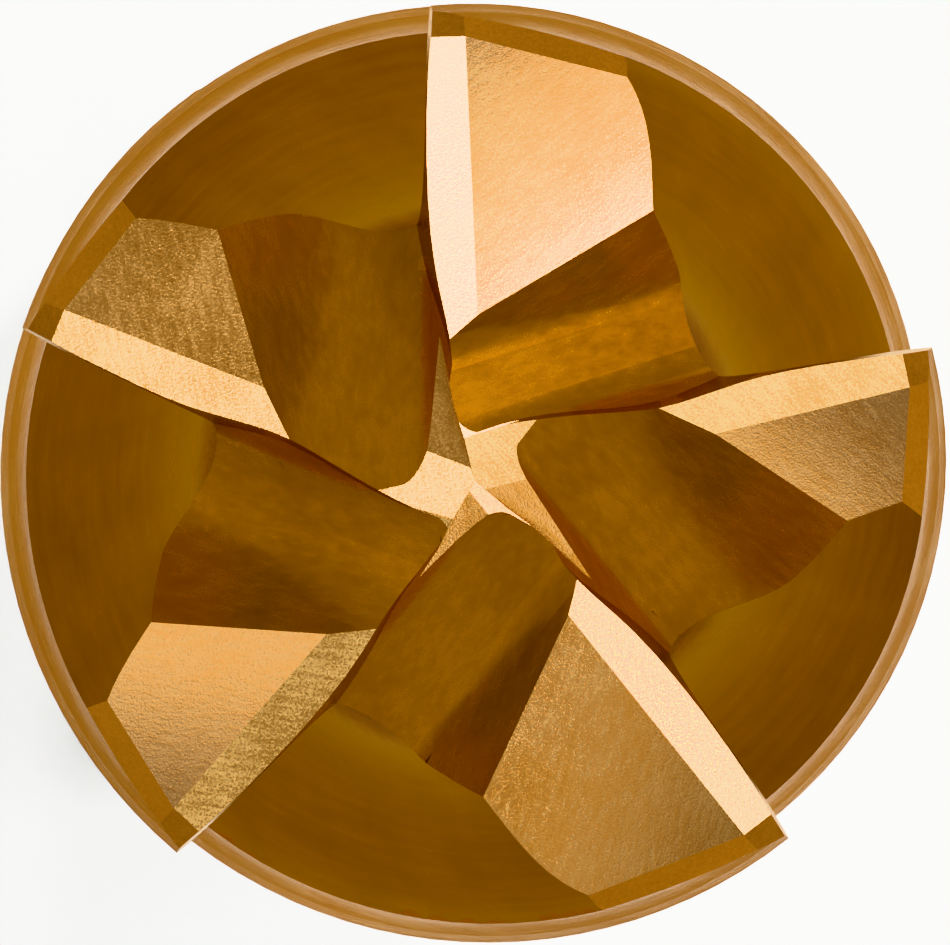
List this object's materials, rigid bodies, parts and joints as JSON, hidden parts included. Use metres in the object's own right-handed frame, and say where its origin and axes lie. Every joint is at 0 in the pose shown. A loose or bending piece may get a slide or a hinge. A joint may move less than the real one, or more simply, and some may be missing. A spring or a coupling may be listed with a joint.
{
  "type": "face mill",
  "caption": "Coated end-cutting milling head with helical flutes, ground end teeth and corner chamfers, pulled into a cylindrical shank by an internal screw.",
  "frame": {"origin": "centre of the shank's rear face", "axes": "+Z along the tool axis toward the cutting end; +X and +Y lie in the rear face, tooth corners stand at 15.9, 95.0, 161.1, 231.1 and 311.0 degrees from +X"},
  "size_m": [0.022, 0.022, 0.112],
  "materials": {
    "coated_carbide": "ground carbide under a bronze-gold hard coating",
    "ground_steel": "cylindrically ground",
    "bright_steel": "hardened and ground",
    "black_oxide": "black oxide",
    "seal_rubber": "moulded nitrile"
  },
  "bodies": {
    "holder": {"shank": "ground_steel", "drive_pin_1": "bright_steel", "drive_pin_2": "bright_steel", "thrust_washer": "bright_steel", "jack_sleeve": "black_oxide"},
    "head": {"cutter_head": "coated_carbide", "pull_bush": "bright_steel", "seat_seal": "seal_rubber"},
    "screw": {"draw_screw": "black_oxide"},
    "plug": {"rear_plug": "black_oxide", "plug_seal": "seal_rubber"}
  },
  "joints": [
    {"name": "screw_turn", "type": "hinge", "parent": "holder", "child": "screw", "pos_m": [0, 0, 0.045], "axis": [0, 0, -1], "range_deg": [0, 3780]},
    {"name": "head_slide", "type": "slide", "parent": "holder", "child": "head", "axis": [0, 0, 1], "range_m": [0, 0.0105]},
    {"name": "plug_slide", "type": "slide", "parent": "holder", "child": "plug", "axis": [0, 0, -1], "range_m": [0, 0.012]}
  ],
  "couplings": [
    {"joint": "screw_turn", "follows": "head_slide", "rad_per_m": 6283.2}
  ]
}
